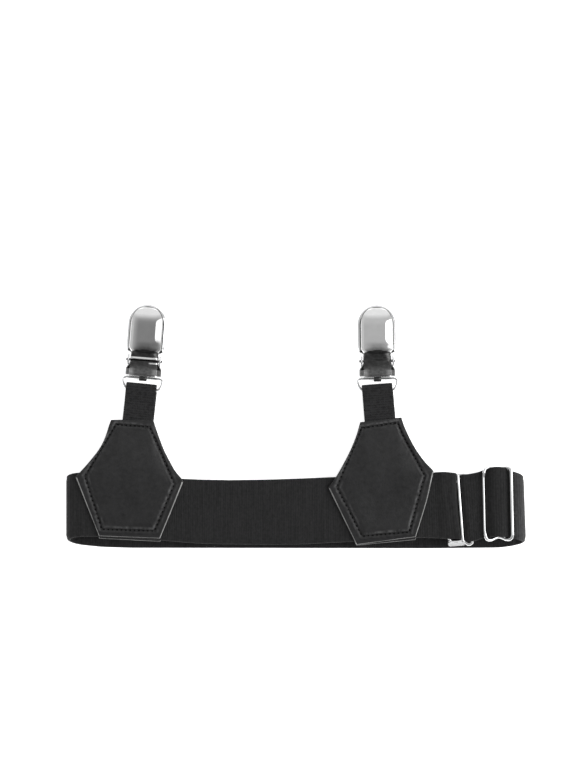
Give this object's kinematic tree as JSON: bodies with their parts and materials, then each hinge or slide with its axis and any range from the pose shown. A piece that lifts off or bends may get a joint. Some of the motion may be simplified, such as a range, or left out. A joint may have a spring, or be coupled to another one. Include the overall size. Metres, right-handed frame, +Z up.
{
  "type": "sock suspender",
  "caption": "Elastic calf band with leather patches, each holding a short strap, a D-ring and a spring clip that grips the top of a sock.",
  "frame": {"origin": "bottom centre of the whole object's box, on the surface that it lies on", "axes": "+X along the flattened band, towards the slider; +Y across the band, towards the clips' mouths; +Z up"},
  "size_m": [0.2066, 0.1096, 0.0113],
  "materials": {
    "elastic": "matt woven elastic with fine ribs",
    "leather": "smooth semi-matt leather with stitched edges",
    "chrome": "bright nickel-plated steel"
  },
  "bodies": {
    "root": {"band": "elastic", "band_adjuster": "elastic", "slider": "chrome", "connector": "chrome", "patch_front_left": "leather", "patch_back_left": "leather", "strap_left": "elastic", "ring_left": "chrome", "patch_front_right": "leather", "patch_back_right": "leather", "strap_right": "elastic", "ring_right": "chrome"},
    "clip_left": {"clip_base_left": "chrome", "clip_pin_left": "chrome", "clip_spring_left": "chrome"},
    "jaw_left": {"clip_jaw_left": "chrome"},
    "clip_right": {"clip_base_right": "chrome", "clip_pin_right": "chrome", "clip_spring_right": "chrome"},
    "jaw_right": {"clip_jaw_right": "chrome"}
  },
  "joints": [
    {"name": "clip_left_swing", "type": "hinge", "parent": "root", "child": "clip_left", "pos_m": [-0.06932, 0.0215, 0.0014], "axis": [0.9969, -0.0785, 0], "range_deg": [-60, 45]},
    {"name": "jaw_left_open", "type": "hinge", "parent": "clip_left", "child": "jaw_left", "pos_m": [-0.0687, 0.02938, 0.0022], "axis": [0.9969, -0.0785, 0], "range_deg": [0, 20], "stiffness_Nm_per_rad": 0.08, "springref_deg": -20.05},
    {"name": "clip_right_swing", "type": "hinge", "parent": "root", "child": "clip_right", "pos_m": [0.03658, 0.0212, 0.0014], "axis": [0.9999, 0.014, 0], "range_deg": [-60, 45]},
    {"name": "jaw_right_open", "type": "hinge", "parent": "clip_right", "child": "jaw_right", "pos_m": [0.03647, 0.0291, 0.0022], "axis": [0.9999, 0.014, 0], "range_deg": [0, 20], "stiffness_Nm_per_rad": 0.08, "springref_deg": -20.05}
  ]
}
